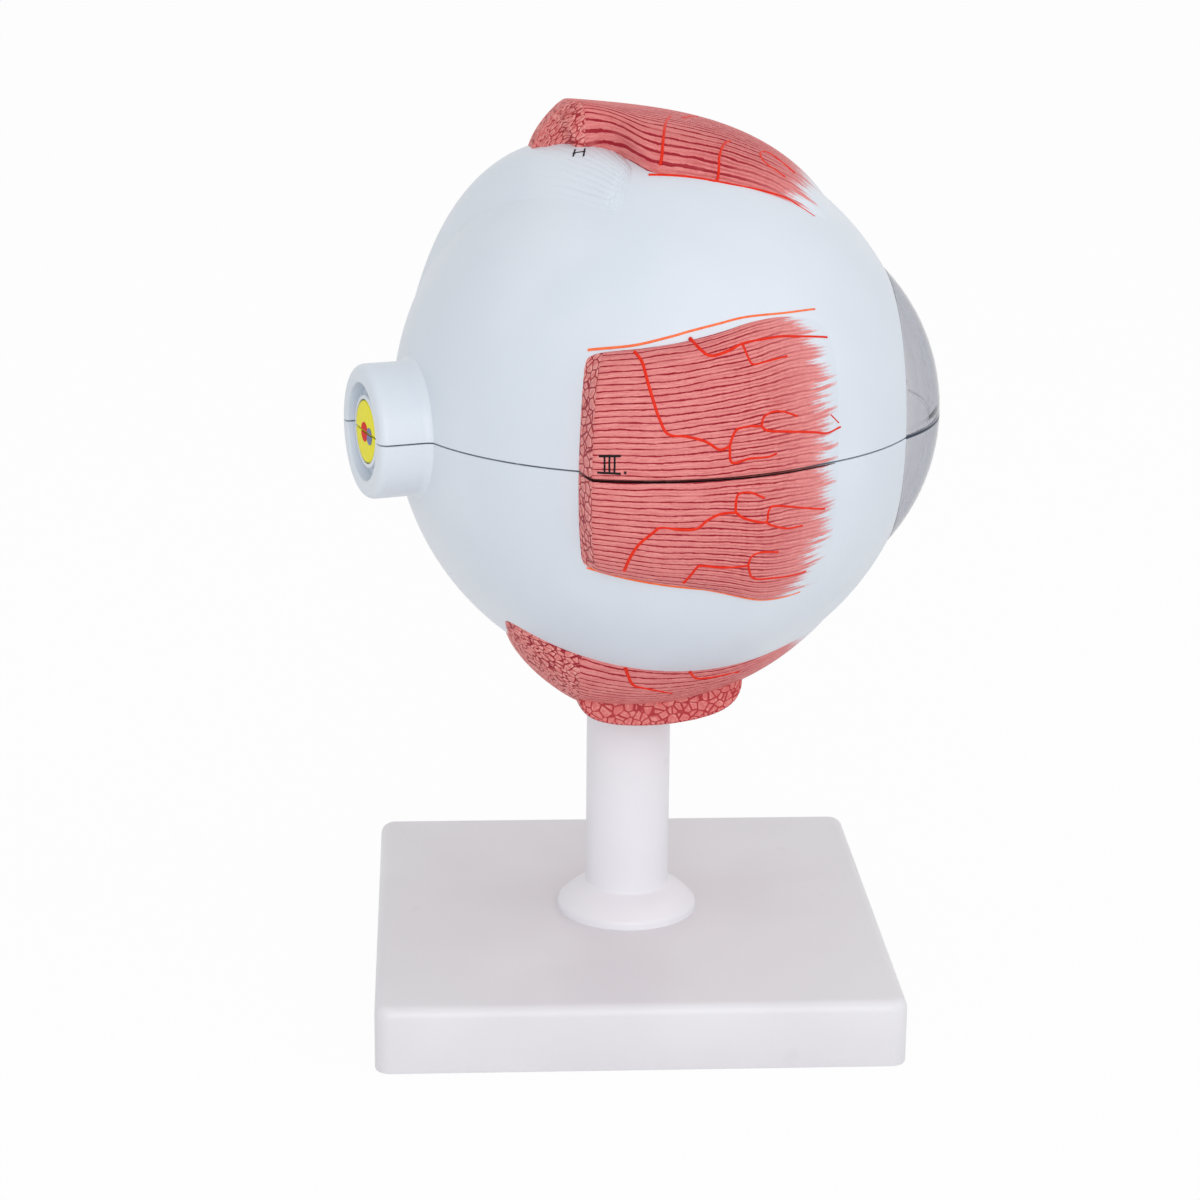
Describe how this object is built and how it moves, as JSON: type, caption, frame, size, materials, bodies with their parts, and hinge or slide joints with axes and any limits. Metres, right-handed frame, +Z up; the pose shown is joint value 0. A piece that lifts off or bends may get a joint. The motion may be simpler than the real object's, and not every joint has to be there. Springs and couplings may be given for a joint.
{
  "type": "eye anatomy model",
  "caption": "Enlarged take-apart eyeball with eye muscles, optic nerve stub, clear cornea, lens and inner shells, turning on a stem above a square tray base.",
  "frame": {"origin": "On the table, under the middle of the whole model's box, 2.2 mm ahead of the stem axis.", "axes": "+Z up along the stem. +X is the cornea side and -X the optic nerve side. -Y is the nasal side of this left eye, the side that shows its whole medial rectus muscle."},
  "size_m": [0.1315, 0.131, 0.2014],
  "materials": {
    "stand_white": "white moulded plastic, soft gloss",
    "steel": "plain zinc plated steel",
    "sclera_white": "cool white moulded plastic, soft gloss",
    "clear_cornea": "clear polished plastic with a faint grey tint",
    "nerve_yellow": "yellow painted plastic with a red and a blue vessel",
    "muscle_red": "pink painted plastic with dark red fibre grooves and cut cells",
    "choroid_brown": "reddish brown painted plastic",
    "iris_blue": "blue grey painted plastic",
    "clear_inner": "clear polished plastic"
  },
  "bodies": {
    "stand": {"base_plate": "stand_white", "stem": "stand_white", "stem_screw": "steel", "screw_washer": "steel", "eye_spigot": "steel"},
    "eye_lower": {"lower_sclera": "sclera_white", "lower_cornea": "clear_cornea", "lower_nerve_core": "nerve_yellow", "medial_rectus_lower": "muscle_red", "lateral_rectus_lower": "muscle_red", "inferior_rectus": "muscle_red", "inferior_oblique": "muscle_red", "rim_pin_1": "sclera_white", "rim_pin_2": "sclera_white", "rim_pin_3": "sclera_white", "rim_pin_4": "sclera_white"},
    "eye_upper": {"upper_sclera": "sclera_white", "upper_cornea": "clear_cornea", "upper_nerve_core": "nerve_yellow", "medial_rectus_upper": "muscle_red", "lateral_rectus_upper": "muscle_red", "superior_rectus": "muscle_red", "superior_oblique": "sclera_white"},
    "choroid_upper": {"upper_choroid": "choroid_brown", "upper_iris": "iris_blue"},
    "choroid_lower": {"lower_choroid": "choroid_brown", "lower_iris": "iris_blue"},
    "vitreous": {"vitreous_body": "clear_inner"},
    "lens": {"lens": "clear_inner"}
  },
  "joints": [
    {"name": "eye_swivel", "type": "hinge", "parent": "stand", "child": "eye_lower", "pos_m": [-0.0022, 0, 0.0652], "axis": [0, 0, 1], "continuous": true},
    {"name": "upper_half_lift", "type": "slide", "parent": "eye_lower", "child": "eye_upper", "axis": [0, 0, 1], "range_m": [0, 0.26]},
    {"name": "upper_choroid_lift", "type": "slide", "parent": "eye_lower", "child": "choroid_upper", "axis": [0, 0, 1], "range_m": [0, 0.195]},
    {"name": "vitreous_lift", "type": "slide", "parent": "eye_lower", "child": "vitreous", "axis": [0, 0, 1], "range_m": [0, 0.13]},
    {"name": "lower_choroid_lift", "type": "slide", "parent": "eye_lower", "child": "choroid_lower", "axis": [0, 0, 1], "range_m": [0, 0.065]},
    {"name": "lens_draw", "type": "slide", "parent": "vitreous", "child": "lens", "axis": [0.9978, 0.0663, 0], "range_m": [0, 0.013]}
  ],
  "couplings": [
    {"joint": "upper_choroid_lift", "follows": "upper_half_lift", "ratio": 0.75},
    {"joint": "vitreous_lift", "follows": "upper_half_lift", "ratio": 0.5},
    {"joint": "lower_choroid_lift", "follows": "upper_half_lift", "ratio": 0.25},
    {"joint": "lens_draw", "follows": "upper_half_lift", "ratio": 0.05}
  ]
}
